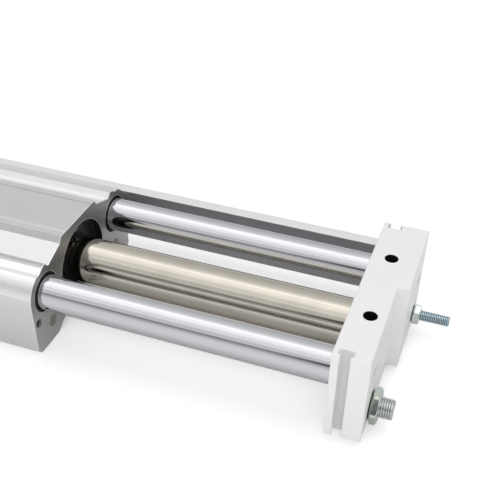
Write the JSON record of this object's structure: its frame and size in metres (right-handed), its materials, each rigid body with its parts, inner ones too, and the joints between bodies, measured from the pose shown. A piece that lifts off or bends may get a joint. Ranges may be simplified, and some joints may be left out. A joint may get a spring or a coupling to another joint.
{
  "type": "rodless pneumatic cylinder",
  "caption": "Magnetically coupled rodless air cylinder: slide block on guide shafts and a sealed tube between end plates, with stroke adjusters and shock absorbers.",
  "frame": {"origin": "centre of the rectangle of mounting holes, on the mounting face of the end plates, halfway between the plates", "axes": "+X along the travel, towards the right end plate; +Y towards the sensor rail; +Z out of the mounting face"},
  "size_m": [0.449, 0.1545, 0.0732],
  "materials": {
    "clear_anodised": "clear anodised, fine satin",
    "block_anodised": "drawn profile, clear anodised, satin",
    "shaft_chrome": "hard chrome, ground bright",
    "tube_stainless": "drawn stainless steel, bright, slightly warm",
    "zinc_plated": "zinc plated, bluish",
    "black_steel": "blackened",
    "pad_steel": "hardened, turned",
    "magnet_nickel": "nickel plated",
    "yoke_steel": "bare steel, turned",
    "spring_steel": "phosphated",
    "bearing_bronze": "plain bearing bronze",
    "seal_rubber": "nitrile rubber",
    "bearing_resin": "filled resin"
  },
  "bodies": {
    "base": {"end_plate_left": "clear_anodised", "end_plate_right": "clear_anodised", "guide_shaft_near": "shaft_chrome", "guide_shaft_far": "shaft_chrome", "cylinder_tube": "tube_stainless", "tube_gaskets": "seal_rubber", "shaft_screws": "zinc_plated", "sensor_rail": "clear_anodised", "rail_screws": "black_steel", "rail_nuts": "zinc_plated", "absorber_nut_left": "zinc_plated", "bolt_nut_left": "zinc_plated", "absorber_nut_right": "zinc_plated", "bolt_nut_right": "zinc_plated"},
    "carriage": {"slide_block": "block_anodised", "shaft_scraper_left_near": "seal_rubber", "guide_bush_left_near": "bearing_bronze", "shaft_scraper_left_far": "seal_rubber", "guide_bush_left_far": "bearing_bronze", "snap_ring_left": "spring_steel", "pack_collar_left": "block_anodised", "tube_scraper_left": "seal_rubber", "tube_wear_ring_left": "bearing_resin", "shaft_scraper_right_near": "seal_rubber", "guide_bush_right_near": "bearing_bronze", "shaft_scraper_right_far": "seal_rubber", "guide_bush_right_far": "bearing_bronze", "snap_ring_right": "spring_steel", "pack_collar_right": "block_anodised", "tube_scraper_right": "seal_rubber", "tube_wear_ring_right": "bearing_resin", "strike_pads": "pad_steel", "pocket_screws": "black_steel", "sensor_magnet": "magnet_nickel", "outer_magnet_1": "magnet_nickel", "outer_magnet_2": "magnet_nickel", "outer_magnet_3": "magnet_nickel", "outer_magnet_4": "magnet_nickel", "outer_yokes": "yoke_steel"},
    "piston": {"inner_magnet_1": "magnet_nickel", "inner_magnet_2": "magnet_nickel", "inner_magnet_3": "magnet_nickel", "inner_magnet_4": "magnet_nickel", "inner_yokes": "yoke_steel", "piston_left": "clear_anodised", "piston_seal_left": "seal_rubber", "piston_wear_ring_left": "bearing_resin", "piston_right": "clear_anodised", "piston_seal_right": "seal_rubber", "piston_wear_ring_right": "bearing_resin", "piston_shaft": "zinc_plated", "piston_nuts": "zinc_plated"},
    "absorber_left": {"absorber_body_left": "zinc_plated"},
    "plunger_left": {"absorber_rod_left": "shaft_chrome", "absorber_cap_left": "bearing_resin"},
    "bolt_left": {"adjusting_bolt_left": "zinc_plated"},
    "absorber_right": {"absorber_body_right": "zinc_plated"},
    "plunger_right": {"absorber_rod_right": "shaft_chrome", "absorber_cap_right": "bearing_resin"},
    "bolt_right": {"adjusting_bolt_right": "zinc_plated"}
  },
  "joints": [
    {"name": "carriage_slide", "type": "slide", "parent": "base", "child": "carriage", "axis": [1, 0, 0], "range_m": [0, 0.2]},
    {"name": "piston_slide", "type": "slide", "parent": "base", "child": "piston", "axis": [1, 0, 0], "range_m": [0, 0.2]},
    {"name": "absorber_adjust_left", "type": "slide", "parent": "base", "child": "absorber_left", "axis": [-1, 0, 0], "range_m": [-0.005, 0.003]},
    {"name": "plunger_stroke_left", "type": "slide", "parent": "absorber_left", "child": "plunger_left", "axis": [-1, 0, 0], "range_m": [0, 0.008], "stiffness_N_per_m": 500, "springref_m": -0.008},
    {"name": "bolt_adjust_left", "type": "slide", "parent": "base", "child": "bolt_left", "axis": [-1, 0, 0], "range_m": [0, 0.015]},
    {"name": "absorber_adjust_right", "type": "slide", "parent": "base", "child": "absorber_right", "axis": [1, 0, 0], "range_m": [-0.005, 0.003]},
    {"name": "plunger_stroke_right", "type": "slide", "parent": "absorber_right", "child": "plunger_right", "axis": [1, 0, 0], "range_m": [0, 0.008], "stiffness_N_per_m": 500, "springref_m": -0.008},
    {"name": "bolt_adjust_right", "type": "slide", "parent": "base", "child": "bolt_right", "axis": [1, 0, 0], "range_m": [0, 0.015]}
  ],
  "couplings": [
    {"joint": "piston_slide", "follows": "carriage_slide", "ratio": 1}
  ]
}
